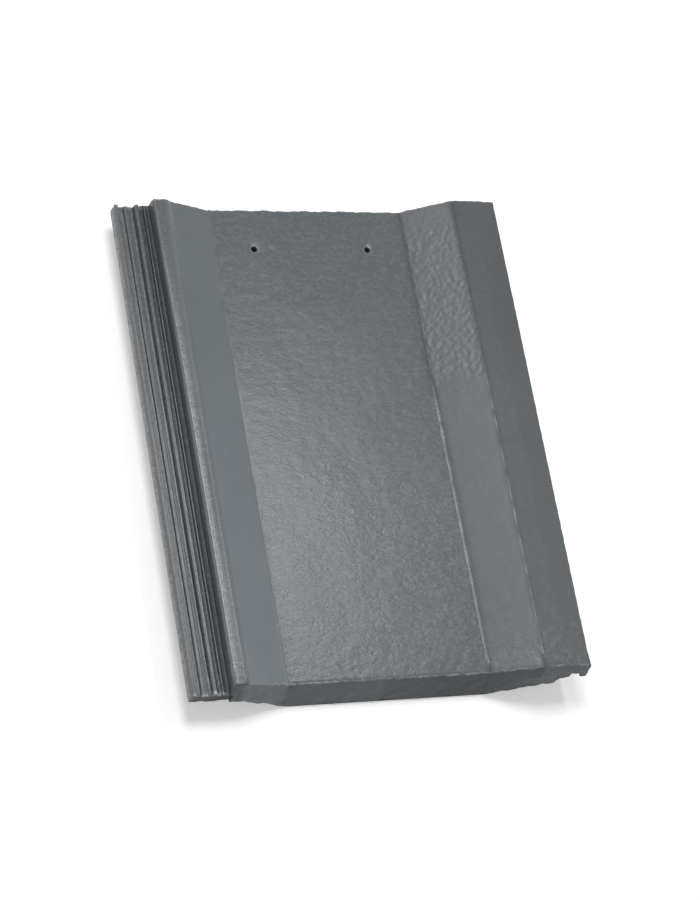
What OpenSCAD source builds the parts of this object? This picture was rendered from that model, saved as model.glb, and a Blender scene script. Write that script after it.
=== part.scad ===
// Interlocking concrete roof tile with a flat trough, lying face up.
// X runs from the ribbed underlock to the overlock, Y from the tail to the head, Z up from the floor.

/* [Length and body] */
// Length from tail to head
tile_l = 413; // [380:1:450]
// Thickness of the body under its face
body_t = 13; // [10:0.5:16]

/* [Trough] */
// Width of the flat pan
pan_w = 170.5; // [140:0.5:190]
// Run of the slope from the lip down to the pan
left_run = 36; // [28:0.5:44]
// Run of the slope from the pan up to the crown
right_run = 38; // [30:0.5:46]
// Radius where a slope folds into the pan
fold_r = 4; // [2:0.5:10]

/* [Lip beside the underlock] */
// Width of the raised lip
lip_w = 15.5; // [11:0.5:18]
// Height of the lip above the pan
lip_h = 17.6; // [15:0.1:20]
// Drop from the lip to the head of its slope
lip_step = 3.6; // [2:0.1:5]
// Radius of the lip's arris over the lock
lip_r = 3.2; // [2:0.1:5]

/* [Underlock] */
// Width of the underlock, from its outer face to the lip
lock_w = 29.5; // [28:0.5:36]
// Depth of the underlock's underside below the pan's face
lock_drop = 5.5; // [3:0.5:7]
// Height of the lock's floor at its outer side
lock_floor = 2.2; // [1:0.1:3]
// Rise of the lock's floor towards the lip
lock_rise = 2.4; // [1:0.1:3]
// Lean of the lock's inner wall under the lip
wall_lean = 1.2; // [0:0.1:2]
// Spacing of the lock's ribs
rib_pitch = 8.5; // [7.5:0.1:9.5]
// Width across the top of a tall rib
rib_w = 2.8; // [2:0.1:4]
// Height of the outer and inner ribs above the pan
rib_h = 7.4; // [6:0.1:8]
// Height of the low rib between them above the pan
low_rib_h = 4.8; // [4:0.1:5.5]
// Height of the bead beside the wall above the pan
bead_h = 6.2; // [5.5:0.1:7]
// Width across the top of the bead
bead_w = 1.4; // [1:0.1:2]
// Distance of the bead from the inner rib, centre to centre
bead_pitch = 6.8; // [6:0.1:7.5]
// Draft of each side of the ribs, here and in the overlock, for each unit of height
rib_draft = 0.3; // [0.15:0.05:0.4]
// Radius along the tops of the ribs
rib_r = 0.8; // [0.3:0.1:1]
// Radius of the outer rib over the lock's outer face
rim_r = 1.2; // [0.5:0.1:1.4]

/* [Overlock] */
// Width of the crown that covers the next tile's lock
crown_w = 40.5; // [36:0.5:46]
// Height of the crown above the pan
crown_h = 22.8; // [20:0.1:26]
// Fall of the crown's face to its free edge
crown_fall = 2.2; // [1:0.1:3]
// Radius of the crown's free edge
crown_r = 1.5; // [1:0.1:3]
// Thickness of the crown over its groove
crown_t = 10.4; // [9:0.1:12]
// Width of the groove over the next tile's inner rib
groove_w = 12; // [10:0.5:14]
// Width of the drip lip at the free edge
drip_w = 4; // [3:0.1:5]
// Depth of the drip lip below the groove
drip_h = 4.8; // [3:0.1:6]
// Width of the rib on the other side of the groove
over_rib_w = 8.5; // [6:0.5:10]
// Depth of that rib below the groove
over_rib_h = 5.2; // [3:0.1:6]
// Radius in the bottom corners of the groove
groove_r = 1.5; // [0.5:0.1:2]

/* [Tail] */
// Depth of the weather bar under the pan at the tail
bar_d = 13.5; // [10:0.5:16]
// Length of the weather bar from the tail
bar_l = 20; // [14:0.5:28]
// Depth of the second, inner weather bar
inner_bar_d = 7; // [4:0.5:9]
// Length of the inner weather bar
inner_bar_l = 9; // [6:0.5:12]
// Clear space between the two weather bars
bar_gap = 18; // [12:0.5:30]
// Height of the upright toe at the foot of the nose
nose_toe = 3; // [1:0.5:5]
// Set-back of the pan's edge from the tail
pan_setback = 9.5; // [7:0.5:12]
// Set-back of the lip's edge from the tail
lip_setback = 6.5; // [5:0.5:9]
// Set-back of the crown's edge from the tail
crown_setback = 4.5; // [3.5:0.5:7]
// Set-back of the underlock's end from the tail
lock_setback = 2; // [1:0.5:8]

/* [Head] */
// Bore of a nail hole
nail_d = 5; // [4:0.1:7]
// Spacing of the two nail holes
nail_spacing = 100; // [80:1:120]
// Distance of the nail holes from the head
nail_from_head = 35.5; // [30:0.5:45]
// Width of a hanging nib
nib_w = 42; // [30:1:50]
// Length of a nib along the tile, at its root
nib_l = 15; // [12:0.5:18]
// Spacing of the two nibs, centre to centre
nib_spacing = 104; // [90:1:120]
// Distance of the nibs from the head
nib_from_head = 3; // [1:0.5:8]
// Slope of a nib's sides and back, for each unit of its depth
nib_draft = 0.25; // [0.1:0.05:0.4]

/* [Hidden] */
slate_grey = [0.44, 0.46, 0.47];
arc_steps = 5;
bore_sides = 48;
through = 1;
far = 1000;

// Places across the tile, measured from the underlock's outer face
lip_x = lock_w;
slope_x = lip_x + lip_w;
pan_x = slope_x + left_run;
rise_x = pan_x + pan_w;
crown_x = rise_x + right_run;
tile_w = crown_x + crown_w;
pan_mid_x = pan_x + pan_w / 2;

// Heights above the pan's face
slope_h = lip_h - lip_step;
edge_h = crown_h - crown_fall;
groove_z = crown_h - crown_t;
floor_z = -body_t - bar_d;

// Ribs of the lock, as the place, width and height of each, with draft on both sides
rib_x = rib_w / 2;
inner_rib_x = rib_x + 2 * rib_pitch;
ribs = [
    [rib_x, rib_w, rib_h],
    [rib_x + rib_pitch, rib_w, low_rib_h],
    [inner_rib_x, rib_w, rib_h],
    [inner_rib_x + bead_pitch, bead_w, bead_h]
];
function lock_floor_at(x) = lock_floor + lock_rise * x / lock_w;
function rib_side(x, top) = (top - lock_floor_at(x)) * rib_draft;
function rib_points(rib) =
    let (a = rib[0] - rib[1] / 2, b = rib[0] + rib[1] / 2, top = rib[2])
    let (a0 = a - rib_side(a, top), b0 = b + rib_side(b, top))
    [[a0, lock_floor_at(a0), 0], [a, top, rib_r], [b, top, rib_r], [b0, lock_floor_at(b0), 0]];

// An outline whose corners, given as [x, z, radius], are rounded by arcs
function unit(v) = v / norm(v);
function flat(list) = [for (part = list) each part];
function corner(p0, p1, p2) =
    let (p = [p1[0], p1[1]], in = [p0[0], p0[1]] - p, out = [p2[0], p2[1]] - p)
    let (half = acos(unit(in) * unit(out)) / 2)
    let (reach = min(p1[2] / tan(half), norm(in) / 2, norm(out) / 2), r = reach * tan(half))
    r < 0.05 ? [p] :
    let (centre = p + unit(unit(in) + unit(out)) * r / sin(half))
    let (from = p + unit(in) * reach - centre, to = p + unit(out) * reach - centre)
    let (start = atan2(from[1], from[0]), turn = atan2(to[1], to[0]) - start)
    let (sweep = turn > 180 ? turn - 360 : turn < -180 ? turn + 360 : turn)
    [for (i = [0:arc_steps]) centre + r * [cos(start + sweep * i / arc_steps),
                                           sin(start + sweep * i / arc_steps)]];
function rounded(points) =
    let (n = len(points))
    flat([for (i = [0:n - 1]) corner(points[(i + n - 1) % n], points[i], points[(i + 1) % n])]);

// The face of the tile, from the lock's outer face to the crown's free edge
lock_face = concat(
    [[0, rib_h, rim_r]],
    [for (i = [2:3]) rib_points(ribs[0])[i]],
    flat([for (i = [1:len(ribs) - 1]) rib_points(ribs[i])]),
    [[lip_x + wall_lean, lock_floor_at(lock_w), rib_r]]
);
trough_face = [
    [lip_x, lip_h, lip_r],
    [slope_x - lip_step, lip_h, lip_r],
    [slope_x, slope_h, lip_step],
    [pan_x, 0, fold_r],
    [rise_x, 0, fold_r],
    [crown_x, crown_h, fold_r]
];
crown_face = [
    [crown_x + crown_w / 2, crown_h, crown_w],
    [tile_w, edge_h, crown_r]
];

// The underside, from the crown's drip lip back to the lock
drip_x = tile_w - drip_w;
groove_x = drip_x - groove_w;
over_rib_x = groove_x - over_rib_w;
under_crown_z = crown_h - body_t;
lock_under_x = pan_x - (body_t - lock_drop) * left_run / slope_h;
underside = [
    [tile_w, groove_z - drip_h, rib_r],
    [drip_x, groove_z - drip_h, rib_r],
    [drip_x - drip_h * rib_draft, groove_z, groove_r],
    [groove_x + over_rib_h * rib_draft, groove_z, groove_r],
    [groove_x, groove_z - over_rib_h, rib_r],
    [over_rib_x, groove_z - over_rib_h, rib_r],
    [over_rib_x - over_rib_h * rib_draft, under_crown_z, groove_r],
    [crown_x, under_crown_z, fold_r],
    [rise_x, -body_t, fold_r],
    [pan_x, -body_t, fold_r],
    [lock_under_x, -lock_drop, fold_r],
    [0, -lock_drop, rib_r]
];

module section() {
    polygon(rounded(concat(lock_face, trough_face, crown_face, underside)));
}

// A stretch of the tile with the given cross section, from one place along it to another
module along(from, length) {
    translate([0, from + length, 0]) rotate([90, 0, 0]) linear_extrude(length) children();
}

// The bottom of a weather bar of the given depth, from the lip across the pan to the overlock
bar_end_x = over_rib_x + over_rib_w / 4;
function bar_foot(depth) = [
    [lock_under_x - depth * left_run / slope_h / 2, -lock_drop],
    [pan_x + depth / 2, -body_t - depth],
    [rise_x + depth / 2, -body_t - depth],
    [bar_end_x, under_crown_z - depth]
];

// A bar across the underside, rooted in the body
module weather_bar(depth) {
    root = body_t / 2;
    foot = bar_foot(depth);
    polygon(concat(foot, [
        [bar_end_x, under_crown_z + root],
        [crown_x, under_crown_z + root],
        [rise_x, root - body_t],
        [pan_x, root - body_t],
        [lock_under_x, root - lock_drop],
        foot[0] + (foot[0] - foot[1]) / 4
    ]));
}

// A hanging nib, square to the batten on the tail side and tapered on its other sides
module nib() {
    taper = bar_d * nib_draft;
    root = body_t / 2;
    flare = root * nib_draft;
    head_y = tile_l - nib_from_head;
    half = nib_w / 2;
    intersection() {
        translate([-nib_w, 0, 0]) rotate([90, 0, 90]) linear_extrude(2 * nib_w)
            polygon([
                [head_y - nib_l, root - body_t], [head_y - nib_l, floor_z],
                [head_y - taper, floor_z], [head_y + flare, root - body_t]
            ]);
        along(head_y - 2 * nib_l, 3 * nib_l)
            polygon([
                [-half - flare, root - body_t], [taper - half, floor_z],
                [half - taper, floor_z], [half + flare, root - body_t]
            ]);
    }
}

// All that lies ahead of a face that leans back with height above the line from a to b
module ahead_of(a, b, lean) {
    skew = lean * (b[1] - a[1]) / (b[0] - a[0]);
    tilt = asin(lean / norm([1, lean, skew]));
    translate([a[0], 0, a[1]]) rotate([-tilt, 0, -atan(skew)])
        translate([-far / 2, -far, -far / 2]) cube(far);
}

// The same above a line across the tile that runs along the lip, down, along the pan, up and along
// the crown: the three faces of the trough meet in its corners, the other two end over the slopes
module lean_back(line, lean) {
    intersection() {
        ahead_of(line[1], line[2], lean);
        ahead_of(line[2], line[3], lean);
        ahead_of(line[3], line[4], lean);
    }
    intersection() {
        ahead_of(line[0], line[1], lean);
        translate([slope_x + left_run / 2 - far, -far / 2, -far / 2]) cube(far);
    }
    intersection() {
        ahead_of(line[4], line[5], lean);
        translate([crown_x - right_run / 2, -far / 2, -far / 2]) cube(far);
    }
}

// The face's own line, as [place, height, set-back of the nose there], the nose's set-back for each
// unit of its height, and the line along the tail above which it leans back
nose_face = [
    [lip_x, lip_h, lip_setback],
    [slope_x, slope_h, lip_setback],
    [pan_x, 0, pan_setback],
    [rise_x, 0, pan_setback],
    [crown_x, crown_h, crown_setback],
    [tile_w, edge_h, crown_setback]
];
nose_lean = pan_setback / (body_t + bar_d - nose_toe);
nose_foot = [for (p = nose_face) [p[0], p[1] - p[2] / nose_lean]];
lock_end_x = lip_x + 2 * wall_lean + through;

module roof_tile() {
    color(slate_grey)
    translate([-tile_w / 2, -tile_l / 2, -floor_z])
    difference() {
        union() {
            along(0, tile_l) section();
            along(0, bar_l) weather_bar(bar_d);
            along(bar_l + bar_gap, inner_bar_l) weather_bar(inner_bar_d);
            for (side = [-1, 1]) translate([pan_mid_x + side * nib_spacing / 2, 0, 0]) nib();
        }
        for (side = [-1, 1])
            translate([pan_mid_x + side * nail_spacing / 2, tile_l - nail_from_head, -body_t - through])
                cylinder(d = nail_d, h = body_t + 2 * through, $fn = bore_sides);
        lean_back(nose_foot, nose_lean);
        translate([lock_end_x - far, lock_setback - far, -far / 2]) cube(far);
    }
}

roof_tile();
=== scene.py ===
"""A slate-grey interlocking concrete roof tile, lying face up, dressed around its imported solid."""
from math import cos, exp, pi, radians, sin

import bmesh
import bpy
from mathutils import Matrix, Vector, noise


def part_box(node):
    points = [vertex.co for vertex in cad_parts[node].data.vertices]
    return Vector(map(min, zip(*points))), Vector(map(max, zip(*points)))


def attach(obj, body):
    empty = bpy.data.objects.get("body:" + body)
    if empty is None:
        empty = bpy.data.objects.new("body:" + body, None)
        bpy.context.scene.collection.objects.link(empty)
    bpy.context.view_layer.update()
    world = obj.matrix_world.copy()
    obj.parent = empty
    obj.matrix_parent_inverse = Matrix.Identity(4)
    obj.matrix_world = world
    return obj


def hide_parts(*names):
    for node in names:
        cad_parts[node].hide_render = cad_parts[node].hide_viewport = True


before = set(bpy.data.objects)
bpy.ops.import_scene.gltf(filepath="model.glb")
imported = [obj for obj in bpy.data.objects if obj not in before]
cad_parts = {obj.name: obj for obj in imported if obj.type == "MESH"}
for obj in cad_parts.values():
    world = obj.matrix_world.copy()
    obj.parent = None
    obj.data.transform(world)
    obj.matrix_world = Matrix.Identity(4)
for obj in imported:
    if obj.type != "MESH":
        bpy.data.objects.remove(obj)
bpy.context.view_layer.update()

MM = 0.001
X, Y, Z = range(3)

# Stretches of the tile across its width, from the lock's outer face
LOCK_W = 29.5 * MM
LIP_W = 15.5 * MM
LEFT_RUN = 36 * MM
PAN_W = 170.5 * MM
RIGHT_RUN = 38 * MM

low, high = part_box("roof_tile")
LEFT_X, TAIL_Y, FLOOR_Z = low
RIGHT_X, HEAD_Y, TOP_Z = high
LIP_X = LEFT_X + LOCK_W
SLOPE_X = LIP_X + LIP_W
PAN_X = SLOPE_X + LEFT_RUN
RISE_X = PAN_X + PAN_W
CROWN_X = RISE_X + RIGHT_RUN
MIDDLE_X = (LEFT_X + RIGHT_X) / 2
PAN_Z = 26.5 * MM
LIP_Z = PAN_Z + 17.6 * MM

# Underlock: its underside, its rising floor, and the places of its inner floor, inner rib and bead
LOCK_UNDER_Z = 21 * MM
LOCK_FLOOR_Z = PAN_Z + 2.2 * MM
LOCK_RISE = 2.4 * MM
INNER_FLOOR_X = LEFT_X + 14.8 * MM
INNER_RIB_X = LEFT_X + 18.4 * MM
LOCK_BEAD_X = LEFT_X + 24.4 * MM

# Underside of the overlock: its outer rib's near edge, the feet of its ribs and the roof of its groove
OVER_RIB_X = RIGHT_X - 24.5 * MM
OVER_FOOT_Z = PAN_Z + 7.4 * MM
GROOVE_Z = PAN_Z + 12.4 * MM

# Nail holes through the pan
NAIL_R = 2.5 * MM
NAIL_Y = HEAD_Y - 35.5 * MM
NAIL_SPACING = 100 * MM
NAIL_XS = [(PAN_X + RISE_X) / 2 + side * NAIL_SPACING / 2 for side in (-1, 1)]

# Rough, bare patch on the right slope: its ragged lower end, and from where the skin is finer for it
PATCH_END_Y = 44 * MM
PATCH_CELLS_Y = 15 * MM

# Mesh sizes of the skin: on the weathered face, up its steep sides, on the cut ends and underneath
FACE_PITCH = 2.1 * MM
SIDE_PITCH = 4 * MM
END_PITCH = 2.8 * MM
UNDER_PITCH = 14 * MM

# Number of cuts across the lock, and places of the cuts beside each fold, where its bead stands
LOCK_CUTS = 26
BEAD_CUTS_MM = (-2.1, -1.4, -0.9, -0.45, 0, 0.45, 0.9, 1.4, 2.1)

# Distances within which corners are one, and within which they lie on a cut
WELD = 1e-6
ON_CUT = 1e-7

# Angles between two faces: of one flat cell, at an arris, and where the shading breaks
FLAT_ANGLE = radians(0.5)
ARRIS_ANGLE = radians(25)
SHARP_ANGLE = radians(38)

# Colours of the finish; the rubbed one also paints bounce light and highlights
COAT_DARK = (0.0842, 0.0964, 0.1045, 1)
COAT_LIGHT = (0.0957, 0.1084, 0.1178, 1)
BARE_CONCRETE = (0.1130, 0.1172, 0.1285, 1)
LIGHT_GRAIN = (0.2210, 0.2440, 0.2590, 1)
RUBBED_AND_PAINTED_LIGHT = (0.430, 0.443, 0.450, 1)

# Sockets of a Mix node that mixes colours
MIX_SHARE, MIX_A, MIX_B, MIX_RESULT = 0, 6, 7, 2

# The camera that the photograph's edges give, aimed at the pan and rolled about its axis
AIM = Vector((2.5 * MM, -6.2 * MM, PAN_Z))
DISTANCE = 2.2523
AZIMUTH = radians(-49.37)
ELEVATION = radians(58.20)
ROLL = radians(43.39)
LENS_MM = 113.38
SENSOR_MM = 36

# The room: half the floor's width, how far the camera sees, and the strength of the even light
FLOOR_HALF = 6.0
FAR = 50
AMBIENT = 0.28


def ramp(value, start, end):
    """0 at start, 1 at end, smooth between."""
    t = min(max((value - start) / (end - start), 0.0), 1.0)
    return t * t * (3 - 2 * t)


def band(value, start, end, soft):
    """1 between start and end, fading to 0 over a soft width inside both."""
    return ramp(value, start, start + soft) * (1 - ramp(value, end - soft, end))


def hump(value, centre, width):
    """A smooth bell of height 1."""
    return exp(-((value - centre) / width) ** 2)


def rough(point, size, octaves=2, seed=0.0):
    """Seeded fractal noise of about -1 to 1, with lumps of the given size."""
    at = Vector(point) / size + Vector((seed, 1.7 * seed, -0.6 * seed))
    return noise.fractal(at, 0.8, 2.1, octaves)


# Cutting the solid's copy into a fine skin

def even_cuts(faces, axis, pitch, extra=()):
    """Places for evenly spaced cuts across some faces, giving way to extra ones."""
    spans = [v.co[axis] for f in faces for v in f.verts]
    start, end = min(spans), max(spans)
    count = round((end - start) / pitch)
    even = [start + (end - start) * i / count for i in range(1, count)]
    clear = [place for place in even if all(abs(place - e) > 0.45 * pitch for e in extra)]
    return sorted(clear + list(extra))


def cut_across(bm, faces, axis, places):
    """Cuts faces by planes square to an axis, from one end, so that each cut meets few faces."""
    normal = Vector((0, 0, 0))
    normal[axis] = 1
    done = []
    rest = faces
    for place in places:
        geom = set(rest)
        for f in rest:
            geom.update(f.verts)
            geom.update(f.edges)
        cut = bmesh.ops.bisect_plane(bm, geom=list(geom), dist=ON_CUT,
                                     plane_co=normal * place, plane_no=normal)
        rest = []
        for f in cut["geom"]:
            if isinstance(f, bmesh.types.BMFace):
                (rest if f.calc_center_bounds()[axis] > place else done).append(f)
    return done + rest


def clear_slants(bm):
    """Takes out the slanting edges that the solid's triangles leave inside the flat cells."""
    slanted = []
    for e in bm.edges:
        flat = len(e.link_faces) == 2 and e.calc_face_angle(pi) < FLAT_ANGLE
        if flat and abs(e.link_faces[0].normal.y) < 0.2:
            along = (e.verts[1].co - e.verts[0].co).normalized()
            if 0.002 < abs(along.y) < 0.99999:
                slanted.append(e)
    bmesh.ops.dissolve_edges(bm, edges=slanted, use_verts=False)


def halve_patch(bm):
    """Halves the cells of the rough patch, whose lumps are the finest relief on the face."""
    edges = set()
    for f in bm.faces:
        middle = f.calc_center_bounds()
        if f.normal.z > 0.6 and RISE_X < middle.x < CROWN_X and middle.y > PATCH_CELLS_Y:
            edges.update(f.edges)
    bmesh.ops.subdivide_edges(bm, edges=list(edges), cuts=1, use_grid_fill=True)


def fine_copy(node):
    """A merged copy of a node's mesh, cut coarsely underneath and finely where it shows."""
    bm = bmesh.new()
    bm.from_mesh(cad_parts[node].data)
    bmesh.ops.remove_doubles(bm, verts=bm.verts, dist=WELD)
    bm.normal_update()
    under, ends, sides, upper = [], [], [], []
    for f in bm.faces:
        middle = f.calc_center_bounds()
        steep = abs(f.normal.x) > 0.9
        in_lock = middle.x < LIP_X + 4 * MM and middle.z > PAN_Z - 7 * MM
        if abs(f.normal.y) > 0.5:
            ends.append(f)
        elif f.normal.z < -0.35 or (steep and not in_lock and middle.x < RIGHT_X - 1 * MM):
            under.append(f)
        elif steep:
            sides.append(f)
        else:
            upper.append(f)
    lock_edge = LIP_X + 3 * MM
    bead_cuts = [x + step * MM for x in (PAN_X, RISE_X, CROWN_X) for step in BEAD_CUTS_MM]
    across = [x for x in even_cuts(upper, X, FACE_PITCH, bead_cuts) if x > lock_edge]
    lock_cuts = [LEFT_X + LOCK_W * (step + 0.5) / LOCK_CUTS for step in range(LOCK_CUTS)]
    upper = cut_across(bm, upper, X, lock_cuts + across)
    sides = cut_across(bm, sides, Z, even_cuts(sides, Z, SIDE_PITCH))
    for axis in (X, Z):
        ends = cut_across(bm, ends, axis, even_cuts(ends, axis, END_PITCH))
    for axis in (X, Y):
        under = cut_across(bm, under, axis, even_cuts(under, axis, UNDER_PITCH))
    rows = even_cuts(upper, Y, FACE_PITCH)
    lock = [f for f in upper + sides if f.calc_center_bounds().x < lock_edge]
    wide = [f for f in upper + sides if f.calc_center_bounds().x >= lock_edge]
    cut_across(bm, lock, Y, rows[1::2])
    cut_across(bm, wide, Y, rows)
    clear_slants(bm)
    bm.normal_update()
    halve_patch(bm)
    return bm


# Cast and weathered relief of the skin

def face_z(x):
    """Height of the trough's and crown's face at a place across the tile."""
    if x < RISE_X:
        return LIP_Z + (PAN_Z - LIP_Z) * min(max((x - SLOPE_X) / LEFT_RUN, 0), 1)
    return PAN_Z + (TOP_Z - PAN_Z) * min((x - RISE_X) / RIGHT_RUN, 1)


def drawn(x, y, z, stretch):
    """A point squeezed across the tile, so that noise on it is drawn out that way."""
    return (x / stretch, y, z)


def near_tail(y):
    """1 at the tail, fading to 0 a little way up the tile."""
    return 1 - ramp(y, TAIL_Y + 10 * MM, TAIL_Y + 70 * MM)


def pan_edge(y):
    """Where the pan's grain starts at its left fold, which wanders towards the head."""
    return PAN_X + 2.4 * MM * ramp(y, -70 * MM, 20 * MM) * (0.5 + rough((0, y, 0), 6 * MM, 2, 19.0))


def patch_share(x, y):
    """Where the rough, bare patch lies: the right slope, from the head to past the middle."""
    edge = PATCH_END_Y + 14 * MM * rough((x, y, 0), 12 * MM, 2, 5.0)
    across = ramp(x, RISE_X + 0.3 * MM, RISE_X + 1.6 * MM) * (1 - ramp(x, CROWN_X - 6 * MM, CROWN_X + 1 * MM))
    return across * ramp(y, edge - 6 * MM, edge + 12 * MM)


def face_relief(x, y, z, up):
    """Height of the weathered face above the smooth solid, where up is 1 on faces that look up."""
    near_head = ramp(y, 40 * MM, 190 * MM)
    on_pan = up * band(x, pan_edge(y), RISE_X, 4 * MM)
    on_crown = ramp(x, CROWN_X - 2 * MM, CROWN_X + 3 * MM)
    on_lock = 1 - ramp(x, LIP_X - 2 * MM, LIP_X)
    lumps = up * patch_share(x, y) * (1 - 0.6 * ramp(y, HEAD_Y - 26 * MM, HEAD_Y - 14 * MM))
    height = on_pan * 0.09 * rough(drawn(x, y, z, 1.8), 4.2 * MM, 2, 1.0)
    height += on_pan * near_head * 0.14 * rough(drawn(x, y, z, 4.0), 3.6 * MM, 2, 2.0)
    height += on_pan * 0.12 * rough((x, y, z), 48 * MM, 2, 3.0)
    height += lumps * 0.31 * rough((x, y, z), 3.1 * MM, 2, 4.0)
    height += up * (0.06 * on_crown + 0.14 * near_tail(y)) * rough((x, y, z), 5 * MM, 3, 6.0)
    height += on_lock * 0.12 * rough((x, y, z), 7 * MM, 3, 7.0)
    height += (0.04 + 0.14 * (1 - up)) * rough((x, y, z), 9 * MM, 3, 8.0)
    return height * MM


def cast_lines(x, y):
    """Fine beads and creases that the casting leaves along the pan's and crown's edges."""
    rise_run = band(y, TAIL_Y + 12 * MM, 62 * MM, 14 * MM)
    crown_run = band(y, TAIL_Y + 14 * MM, 48 * MM, 20 * MM)
    left_run = band(y, TAIL_Y + 6 * MM, 70 * MM, 16 * MM)
    left_bead = 1 - ramp(y, -140 * MM, -100 * MM)
    broken = 0.75 + 0.35 * rough((0, y, 0), 9 * MM, 2, 9.0)
    height = 0.22 * rise_run * broken * hump(x, RISE_X - 0.2 * MM, 0.5 * MM)
    height -= 0.22 * rise_run * hump(x, RISE_X + 1.0 * MM, 0.5 * MM)
    height += 0.10 * crown_run * broken * hump(x, CROWN_X, 0.5 * MM)
    height -= 0.16 * left_run * hump(x, PAN_X + 0.2 * MM, 0.6 * MM)
    height += 0.26 * left_run * left_bead * broken * hump(x, PAN_X - 1.0 * MM, 0.6 * MM)
    return height * MM


def ragged_ends(point):
    """Draws the cut ends and the outer edge back unevenly, frays the tail's corner, and lets the
    lip stand out a little over the lock at the head."""
    x, y, z = point
    at_head = ramp(y, HEAD_Y - 5 * MM, HEAD_Y)
    at_tail = 1 - ramp(y, TAIL_Y, TAIL_Y + 16 * MM)
    at_edge = ramp(x, RIGHT_X - 4 * MM, RIGHT_X)
    corner = 1 - ramp(y, TAIL_Y + 8 * MM, TAIL_Y + 24 * MM)
    head_cut = -0.6 + 0.75 * rough((x, 0, z), 5.5 * MM, 3, 11.0)
    head_cut += 0.5 * rough((x, 0, z), 2.8 * MM, 1, 16.0)
    y += at_head * head_cut * MM
    at_foot = 1 - ramp(z, face_z(x) - 14 * MM, face_z(x) - 5 * MM)
    y += at_tail * (0.3 + 0.7 * at_foot) * rough((x, 0, z), 6 * MM, 3, 12.0) * MM
    x += at_edge * (-0.1 + (0.3 + 0.5 * corner) * rough((0, y, z), 6 * MM, 2, 13.0) + 0.4 * corner) * MM
    x -= 1.6 * MM * ramp(y, 40 * MM, HEAD_Y) * band(x, LIP_X - 1 * MM, LIP_X + 8 * MM, 3 * MM) * (z > PAN_Z)
    return Vector((x, y, z))


def open_nail_holes(bm):
    """Trues the bores' mouths to circles and dishes the pan a little round each."""
    for v in bm.verts:
        for hole_x in NAIL_XS:
            out = Vector((v.co.x - hole_x, v.co.y - NAIL_Y, 0))
            if NAIL_R - 0.25 * MM < out.length < NAIL_R + 0.02 * MM:
                trued = out.normalized() * NAIL_R
                v.co.x = hole_x + trued.x
                v.co.y = NAIL_Y + trued.y
            if out.length < 7 * MM and v.co.z > PAN_Z - 3 * MM:
                v.co.z -= 0.55 * MM * (1 - ramp(out.length, NAIL_R, 5.2 * MM))


def close_groove_ends(bm):
    """Fills the overlock's groove at the very tail with the casting's burr."""
    for v in bm.verts:
        at_end = v.co.y < TAIL_Y + 0.8 * MM and OVER_RIB_X - 3 * MM < v.co.x < RIGHT_X - 1.5 * MM
        if at_end and OVER_FOOT_Z < v.co.z < GROOVE_Z + 0.3 * MM:
            v.co.z = OVER_FOOT_Z + 0.15 * (v.co.z - OVER_FOOT_Z)


def soften(bm, verts, times, axes):
    """Smooths some corners of the mesh a few times, along the named axes only."""
    free = {"use_axis_" + axis: axis in axes for axis in "xyz"}
    for _ in range(times):
        bmesh.ops.smooth_vert(bm, verts=verts, factor=0.5, **free)


def round_arrises(bm, arrises):
    """Softens the sharp edges of the two cut ends, most where the crown rises, and the lock's ribs."""
    top = [v for v in arrises if v.co.z > face_z(v.co.x) - 2 * MM]
    tail = [v for v in top if v.co.y < TAIL_Y + 20 * MM]
    head = [v for v in top if v.co.y > HEAD_Y - 2 * MM]
    lock_end = [v for v in bm.verts if v.co.y < TAIL_Y + 8 * MM and v.co.x < LIP_X + 3 * MM
                and v.co.z > LOCK_UNDER_Z]
    rise = [v for v in bm.verts if v.co.y < TAIL_Y + 16 * MM and v.co.x > RISE_X
            and v.co.z > face_z(v.co.x) - 6 * MM]
    for verts, times in ((tail, 3), (head, 1), (lock_end, 2), (rise, 4)):
        soften(bm, verts, times, "yz")
    ribs = [v for v in bm.verts if LEFT_X + 0.4 * MM < v.co.x < LIP_X - 0.4 * MM
            and v.co.z > PAN_Z + 1.5 * MM]
    soften(bm, ribs, 2, "xz")


# What the finish does at a place on the skin, and the light and shade painted into its colour

def lock_floor(x, z):
    """1 on the floor between the lock's ribs, 0 on the ribs and outside the lock."""
    floor_z = LOCK_FLOOR_Z + LOCK_RISE * (x - LEFT_X) / LOCK_W
    return (x < LIP_X + 2 * MM) * (1 - ramp(z - floor_z, 0.6 * MM, 1.6 * MM))


def lock_painted_shading(x, z, painted_left_light):
    """Painted light and shade in the lock: painted shade on its floor and on the bead and inner rib, painted
    light on the faces that look left.
    """
    floor = lock_floor(x, z)
    # Painted shade on the bead and the inner rib
    ribs = 1 - 0.5 * hump(x, LOCK_BEAD_X, 2 * MM) - 0.25 * hump(x, INNER_RIB_X, 1.6 * MM)
    # Painted shade on the floor, deepening towards the lip's wall
    between = 1.0 - 0.3 * ramp(x, LEFT_X + 4 * MM, LEFT_X + 12 * MM)
    between -= 0.22 * hump(x, INNER_FLOOR_X, 1.8 * MM)
    between -= 0.2 * ramp(x, LEFT_X + 18 * MM, LEFT_X + 21 * MM)
    # Painted light lifting the floor's shade at the foot of the lip's wall
    between += 0.45 * ramp(x, LEFT_X + 26.5 * MM, LEFT_X + 29 * MM)
    # Painted light on the ribs' faces that look left
    return floor * between + (1 - floor) * (1 + 0.85 * painted_left_light) * ribs


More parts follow.
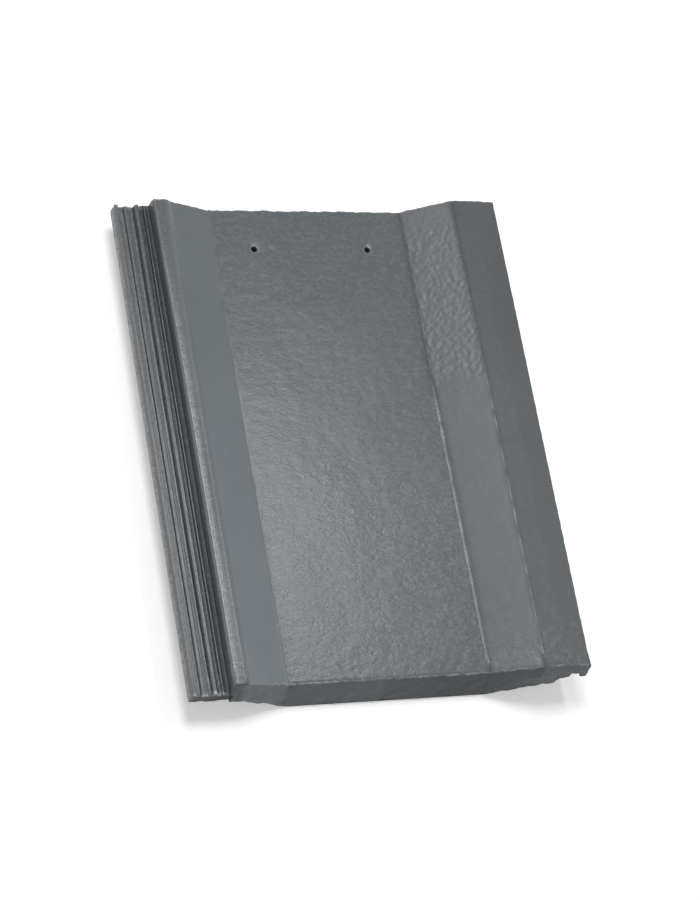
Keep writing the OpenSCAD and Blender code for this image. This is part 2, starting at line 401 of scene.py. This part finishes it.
def painted_shading_at(x, y, z, on_nose, painted_left_light):
    """Painted light and shade on the coat: lighter towards the tail and on the slopes, darker on the crown
    near the head, on the lip's right side and along some folds, and shaded anew on the tail's nose.
    """
    along = ramp(y, HEAD_Y, TAIL_Y)
    if x < LIP_X + 2 * MM:
        return (0.93 + 0.14 * along) * lock_painted_shading(x, z, painted_left_light)
    left = band(x, LIP_X + 8 * MM, pan_edge(y) + 1.5 * MM, 3 * MM)
    low_end = 1 - ramp(y, TAIL_Y + 10 * MM, TAIL_Y + 90 * MM)
    right = band(x, RISE_X, CROWN_X, 2 * MM)
    crown = ramp(x, CROWN_X - 2 * MM, CROWN_X + 2 * MM)
    fold = hump(x, RISE_X - 2 * MM, 5 * MM) * ramp(y, 20 * MM, 60 * MM)
    # Painted light: lighter towards the tail, and lifting the shade on the step from the lip down to the left
    # slope
    step = hump(x, SLOPE_X - 1.8 * MM, 1.6 * MM) * (1 + 0.8 * along)
    painted_shading = 0.97 + 0.12 * along + 0.62 * step
    past_lip = ramp(x, SLOPE_X - 3 * MM, SLOPE_X + 1 * MM)
    lip_right = ramp(x, LIP_X + 3.8 * MM, LIP_X + 6 * MM) * (1 - ramp(x, LIP_X + 9 * MM, LIP_X + 12 * MM))
    # Painted light on the left slope, stronger past the lip towards the tail
    painted_shading += left * (0.32 + 0.56 * along * past_lip)
    # Painted shade on the lip's top, right of its rubbed line, stronger towards the tail
    painted_shading -= 0.66 * lip_right * (1 - on_nose) * ramp(y, 120 * MM, -60 * MM)
    # Painted shade along the pan's left fold near the tail
    painted_shading -= 0.16 * hump(x, PAN_X + 2.5 * MM, 2 * MM) * (1 - ramp(y, -100 * MM, -40 * MM))
    # Painted light on the right slope and on the crown near the tail, painted shade on the crown near the
    # head and on the pan beside the bare patch
    painted_shading += right * (0.08 + 0.10 * along + 0.10 * low_end) - crown * (0.14 - 0.22 * along) - 0.10 * fold
    # Painted light and shade on the tail's nose: lighter under the pan's left half and the crown, darker
    # towards the pan's right fold
    if on_nose > 0:
        left_nose = band(x, PAN_X - 2 * MM, MIDDLE_X, 4 * MM)
        nose = 0.3 * left_nose - 0.22 * hump(x, RISE_X - 20 * MM, 30 * MM) - 0.08 + 0.45 * crown
        painted_shading *= 1 + on_nose * nose * ramp(x, SLOPE_X - 2 * MM, SLOPE_X + 4 * MM)
    return painted_shading


def coat_gloss(x, y, z, up):
    """How well the coat shines: dull in the lock's channel, along parts of the folds and inside the lip."""
    ends = max(ramp(y, 0, 62 * MM), 1 - ramp(y, TAIL_Y + 10 * MM, TAIL_Y + 24 * MM))
    broken = 0.4 + 0.5 * rough((0, y, 0), 11 * MM, 2, 14.0)
    on_rise = hump(x, RISE_X, 1.6 * MM) * min(max(ends, broken, 0), 1)
    on_crown = hump(x, CROWN_X, 1.6 * MM) * min(max(ends, broken + 0.35), 1)
    dulled = 0.8 * up * min(on_rise + on_crown, 1)
    dulled += 0.42 * up * hump(x, LIP_X + 8.8 * MM, 2.4 * MM) * hump(y, -45 * MM, 80 * MM)
    return 1 - dulled - 0.7 * lock_floor(x, z) * ramp(x, LEFT_X + 10 * MM, LEFT_X + 26 * MM)


def coat_grain(x, y, on_nose):
    """How many light grains show: most low on the pan, in the lock and at the tail."""
    lower = 1 - ramp(y, -80 * MM, 20 * MM)
    on_pan = band(x, pan_edge(y) - 0.5 * MM, RISE_X + 0.5 * MM, 2 * MM)
    on_crown = ramp(x, CROWN_X - 3 * MM, CROWN_X)
    on_lock = 1 - ramp(x, LIP_X + 4 * MM, LIP_X + 12 * MM)
    grainy = max(on_pan * (1 + 0.6 * lower), 0.9 * near_tail(y), 0.25 * on_crown, on_lock, 0.08)
    return grainy * (1 - 0.8 * on_nose)


def wear_and_painted_light_at(x, y, z, up, shows, at_arris):
    """How far the rubbed colour goes on: rubbed coat on the arrises, crown specks and the holes' rims, rubbed
    coat with painted highlights on the lip and beads, and painted bounce light on the lock's foot.
    """
    # Rubbed coat and a painted highlight along the lip
    lip_wear_and_highlight = 0.42 * hump(x, LIP_X + 4.2 * MM, 1.8 * MM) * up * (1 - ramp(y, 60 * MM, 180 * MM))
    # Rubbed coat and painted highlights on the beads
    beads = 0.4 * hump(x, RISE_X - 0.2 * MM, 0.5 * MM) + 0.1 * hump(x, CROWN_X, 0.5 * MM)
    bead_run = band(y, TAIL_Y + 12 * MM, 50 * MM, 24 * MM)
    broken = 0.75 + 0.4 * rough((0, y, 0), 8 * MM, 2, 18.0)
    bead_wear_and_highlight = beads * up * bead_run * broken
    # Rubbed coat and a painted highlight on the left bead
    left_bead = 0.3 * hump(x, PAN_X - 1.2 * MM, 0.7 * MM) * up * (1 - ramp(y, -150 * MM, -110 * MM))
    on_crown = ramp(x, CROWN_X - 3 * MM, CROWN_X)
    specks = 0.22 * on_crown * up * near_tail(y) * ramp(rough((x, y, z), 6 * MM, 2, 15.0), 0.1, 0.6)
    at_top = z > face_z(x) - 2 * MM or (x < LIP_X and z > PAN_Z + 3 * MM)
    chipped = 0.5 + 1.1 * ramp(rough((x, 0, 0), 11 * MM, 2, 17.0), -0.1, 0.4)
    at_ends = chipped * (y < TAIL_Y + 20 * MM) + 0.35 * (y > HEAD_Y - 1 * MM)
    edge_wear = at_arris * at_top * at_ends
    # Painted bounce light low on the lock's outer face
    painted_bounce_foot = (1 - ramp(x, LEFT_X, LEFT_X + 1.2 * MM)) * (1 - ramp(z, PAN_Z - 2 * MM, PAN_Z + 4 * MM))
    from_holes = [Vector((x - hole_x, y - NAIL_Y)).length for hole_x in NAIL_XS]
    rims = max(hump(distance, NAIL_R + 1 * MM, 1 * MM) for distance in from_holes)
    return max(lip_wear_and_highlight, bead_wear_and_highlight, left_bead, specks, edge_wear, 1.6 * painted_bounce_foot * shows, 0.2 * rims * up)


def weather(bm):
    """Gives the skin its relief, and stores how its finish is at each place, with the light and shade painted
    into its colour.
    """
    grain = bm.verts.layers.float.new("grain")
    wear_and_painted_light = bm.verts.layers.float.new("wear_and_painted_light")
    bare = bm.verts.layers.float.new("bare")
    painted_shading = bm.verts.layers.float.new("painted_shading")
    gloss = bm.verts.layers.float.new("gloss")
    arrises = {v for e in bm.edges if e.calc_face_angle(0) > ARRIS_ANGLE for v in e.verts}
    open_nail_holes(bm)
    close_groove_ends(bm)
    moved = {}
    for v in bm.verts:
        x, y, z = v.co
        up = ramp(v.normal.z, 0.42, 0.65)
        shows = ramp(v.normal.z, -0.4, -0.1)
        on_nose = (1 - up) * (1 - ramp(y, TAIL_Y + 12 * MM, TAIL_Y + 20 * MM))
        # How far a face looks left, for the light painted on in the lock
        painted_left_light = ramp(-v.normal.x, 0.35, 0.8)
        v[grain] = coat_grain(x, y, on_nose)
        # Rubbed coat, with painted bounce light and painted highlights in the same share
        v[wear_and_painted_light] = wear_and_painted_light_at(x, y, z, up, shows, v in arrises)
        v[bare] = patch_share(x, y) * up
        # Painted light and shade, to be multiplied into the coat's colour
        v[painted_shading] = painted_shading_at(x, y, z, on_nose, painted_left_light)
        v[gloss] = coat_gloss(x, y, z, up)
        shift = v.normal * (face_relief(x, y, z, up) * shows + cast_lines(x, y) * up)
        moved[v] = ragged_ends(v.co + shift) if z > 0.5 * MM else v.co.copy()
    for v, place in moved.items():
        v.co = place
        v.co.z = max(v.co.z, FLOOR_Z)
    round_arrises(bm, arrises)


def tile_skin():
    """The weathered skin of the whole tile."""
    bm = fine_copy("roof_tile")
    for f in bm.faces:
        f.smooth = True
    for e in bm.edges:
        e.smooth = e.calc_face_angle(0) < SHARP_ANGLE
    weather(bm)
    mesh = bpy.data.meshes.new("tile_skin")
    bm.to_mesh(mesh)
    bm.free()
    skin = bpy.data.objects.new("tile_skin", mesh)
    bpy.context.collection.objects.link(skin)
    return skin


# Finish

class Finish:
    """A material's node tree, with short calls for the nodes that a cast finish needs."""

    def __init__(self, name):
        self.material = bpy.data.materials.new(name)
        self.material.use_nodes = True
        self.tree = self.material.node_tree
        self.shader = self.tree.nodes["Principled BSDF"]
        self.coords = self.tree.nodes.new("ShaderNodeTexCoord").outputs["Object"]

    def set(self, socket, value):
        """Links another node's output to a socket, or gives the socket a plain value."""
        if isinstance(value, bpy.types.NodeSocket):
            self.tree.links.new(value, socket)
        else:
            socket.default_value = value

    def noise(self, size, detail, stretch=(1, 1, 1), roughness=0.6):
        """Lumps of about a size in metres, drawn out by a stretch along each axis."""
        mapping = self.tree.nodes.new("ShaderNodeMapping")
        mapping.inputs["Scale"].default_value = [1 / s for s in stretch]
        self.tree.links.new(self.coords, mapping.inputs["Vector"])
        texture = self.tree.nodes.new("ShaderNodeTexNoise")
        texture.inputs["Scale"].default_value = 1 / size
        texture.inputs["Detail"].default_value = detail
        texture.inputs["Roughness"].default_value = roughness
        self.tree.links.new(mapping.outputs["Vector"], texture.inputs["Vector"])
        return texture.outputs["Fac"]

    def stored(self, name):
        """A value that the skin stores at each place."""
        attribute = self.tree.nodes.new("ShaderNodeAttribute")
        attribute.attribute_name = name
        return attribute.outputs["Fac"]

    def range(self, value, from_low, from_high, to_low, to_high):
        """A value moved from one range to another, and held inside that one."""
        node = self.tree.nodes.new("ShaderNodeMapRange")
        limits = {"From Min": from_low, "From Max": from_high, "To Min": to_low, "To Max": to_high}
        for key, number in limits.items():
            node.inputs[key].default_value = number
        self.set(node.inputs["Value"], value)
        return node.outputs["Result"]

    def math(self, operation, a, b):
        """The sum, product or the like of two values."""
        node = self.tree.nodes.new("ShaderNodeMath")
        node.operation = operation
        self.set(node.inputs[0], a)
        self.set(node.inputs[1], b)
        return node.outputs[0]

    def mix(self, share, a, b, blend="MIX"):
        """Colour a, with a share of colour b blended in."""
        node = self.tree.nodes.new("ShaderNodeMix")
        node.data_type = "RGBA"
        node.blend_type = blend
        self.set(node.inputs[MIX_SHARE], share)
        self.set(node.inputs[MIX_A], a)
        self.set(node.inputs[MIX_B], b)
        return node.outputs[MIX_RESULT]

    def bump(self, height, distance, strength, below=None):
        """Fine relief of a height in metres, on top of the relief below it."""
        node = self.tree.nodes.new("ShaderNodeBump")
        node.inputs["Distance"].default_value = distance
        self.set(node.inputs["Strength"], strength)
        self.set(node.inputs["Height"], height)
        if below:
            self.tree.links.new(below, node.inputs["Normal"])
        return node.outputs["Normal"]


def coated_concrete():
    """Slate-grey coat over cast concrete: grainy on the pan, rubbed on its arrises, bare on one patch;
    painted light and shade in its colour.
    """
    coat = Finish("slate_grey_coat")
    grain = coat.stored("grain")
    wear_and_painted_light = coat.stored("wear_and_painted_light")
    bare = coat.stored("bare")
    painted_shading = coat.stored("painted_shading")
    gloss = coat.stored("gloss")
    grains = coat.noise(2.3 * MM, 2, stretch=(1.4, 1, 1))
    grit = coat.noise(1.1 * MM, 1)
    blotches = coat.noise(4.5 * MM, 2)
    mottle = coat.noise(60 * MM, 3)
    streaks = coat.noise(5 * MM, 2, stretch=(1, 12, 1))
    striae = coat.noise(1.5 * MM, 1, stretch=(9, 1, 1))

    colour = coat.mix(coat.range(mottle, 0.35, 0.65, 0, 1), COAT_DARK, COAT_LIGHT)
    streak_share = coat.range(streaks, 0.4, 0.7, 0, 0.35)
    colour = coat.mix(streak_share, colour, COAT_DARK)
    # Painted light and shade multiplied into the colour
    colour = coat.mix(1.0, colour, painted_shading, "MULTIPLY")
    colour = coat.mix(bare, colour, BARE_CONCRETE)
    grain_share = coat.math("MULTIPLY", grain, coat.range(grains, 0.48, 0.72, 0, 0.26))
    colour = coat.mix(grain_share, colour, LIGHT_GRAIN)
    # Rubbed colour, also painted bounce light on the lock's foot and painted highlights on the lip and beads
    worn_and_lit = coat.math("MULTIPLY", wear_and_painted_light, coat.range(grit, 0.38, 0.62, 0.25, 1))
    worn_and_lit = coat.math("MULTIPLY", worn_and_lit, coat.range(blotches, 0.38, 0.60, 0.4, 1.5))
    colour = coat.mix(worn_and_lit, colour, RUBBED_AND_PAINTED_LIGHT)
    coat.set(coat.shader.inputs["Base Color"], colour)
    rougher = coat.math("MULTIPLY", bare, 0.12)
    roughness = coat.math("ADD", rougher, coat.range(grains, 0.3, 0.7, 0.26, 0.32))
    coat.set(coat.shader.inputs["Roughness"], roughness)
    coat.set(coat.shader.inputs["Specular IOR Level"], coat.math("MULTIPLY", gloss, 0.5))

    normal = coat.bump(striae, 0.20 * MM, wear_and_painted_light)
    normal = coat.bump(grit, 0.05 * MM, 0.5, normal)
    normal = coat.bump(grains, 0.15 * MM, grain, normal)
    coat.set(coat.shader.inputs["Normal"], normal)
    return coat.material


# Floor, light and camera

def white_floor():
    """A wide floor that looks white and still takes the tile's shadow."""
    bm = bmesh.new()
    bmesh.ops.create_grid(bm, x_segments=1, y_segments=1, size=FLOOR_HALF)
    floor_mesh = bpy.data.meshes.new("floor")
    bm.to_mesh(floor_mesh)
    bm.free()
    floor = bpy.data.objects.new("floor", floor_mesh)
    bpy.context.collection.objects.link(floor)
    mat = bpy.data.materials.new("floor_white")
    mat.use_nodes = True
    tree = mat.node_tree
    bsdf = tree.nodes["Principled BSDF"]
    bsdf.inputs["Base Color"].default_value = (0.9, 0.9, 0.9, 1)
    bsdf.inputs["Roughness"].default_value = 0.9
    bsdf.inputs["Emission Color"].default_value = (1, 1, 1, 1)
    path = tree.nodes.new("ShaderNodeLightPath")
    lift = tree.nodes.new("ShaderNodeMath")
    lift.operation = "MULTIPLY"
    lift.inputs[1].default_value = 0.4
    tree.links.new(path.outputs["Is Camera Ray"], lift.inputs[0])
    tree.links.new(lift.outputs[0], bsdf.inputs["Emission Strength"])
    floor_mesh.materials.append(mat)


def area_light(name, place, aim, across, along, power):
    """A softbox that shines at a point, with its long way as near as can be along the tile."""
    lamp = bpy.data.lights.new(name, "AREA")
    lamp.shape = "RECTANGLE"
    lamp.size = across
    lamp.size_y = along
    lamp.energy = power
    back = (Vector(place) - Vector(aim)).normalized()
    side = Vector((0, 1, 0)).cross(back).normalized()
    turn = Matrix((side, back.cross(side), back)).transposed()
    obj = bpy.data.objects.new(name, lamp)
    obj.matrix_world = Matrix.Translation(place) @ turn.to_4x4()
    bpy.context.collection.objects.link(obj)


def studio_world(ambient):
    """White to the camera and to gloss, and a dimmer, even light on everything else."""
    world = bpy.data.worlds.new("studio")
    bpy.context.scene.world = world
    world.use_nodes = True
    tree = world.node_tree
    background = tree.nodes["Background"]
    background.inputs["Color"].default_value = (1, 1, 1, 1)
    path = tree.nodes.new("ShaderNodeLightPath")
    seen = path.outputs["Is Camera Ray"]
    for ray in ("Is Glossy Ray", "Is Transmission Ray"):
        either = tree.nodes.new("ShaderNodeMath")
        either.operation = "MAXIMUM"
        tree.links.new(seen, either.inputs[0])
        tree.links.new(path.outputs[ray], either.inputs[1])
        seen = either.outputs[0]
    level = tree.nodes.new("ShaderNodeMapRange")
    level.inputs["To Min"].default_value = ambient
    tree.links.new(seen, level.inputs["Value"])
    tree.links.new(level.outputs["Result"], background.inputs["Strength"])


def photo_camera():
    """The scene's camera, where the photograph was taken from."""
    back = Vector((sin(AZIMUTH) * cos(ELEVATION), -cos(AZIMUTH) * cos(ELEVATION), sin(ELEVATION)))
    level_right = Vector((cos(AZIMUTH), sin(AZIMUTH), 0))
    level_up = back.cross(level_right)
    right = level_right * cos(ROLL) + level_up * sin(ROLL)
    up = back.cross(right)
    turn = Matrix((right, up, back)).transposed()
    data = bpy.data.cameras.new("camera")
    data.lens = LENS_MM
    data.sensor_width = SENSOR_MM
    data.clip_end = FAR
    camera = bpy.data.objects.new("camera", data)
    camera.matrix_world = Matrix.Translation(AIM + back * DISTANCE) @ turn.to_4x4()
    bpy.context.collection.objects.link(camera)
    bpy.context.scene.camera = camera


# The dressed tile in its white room

skin = tile_skin()
skin.data.materials.append(coated_concrete())
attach(skin, "root")
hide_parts("roof_tile")

white_floor()
studio_world(AMBIENT)
area_light("sheen_strip", place=(0.285, 0.215, 0.942), aim=(-0.09, -0.09, 0.0265),
           across=0.08, along=0.36, power=1.9)
area_light("key_softbox", place=(-0.36, 0.54, 1.68), aim=(0, 0, 0),
           across=0.6, along=0.6, power=15)
photo_camera()
bpy.context.scene.view_settings.view_transform = "Standard"
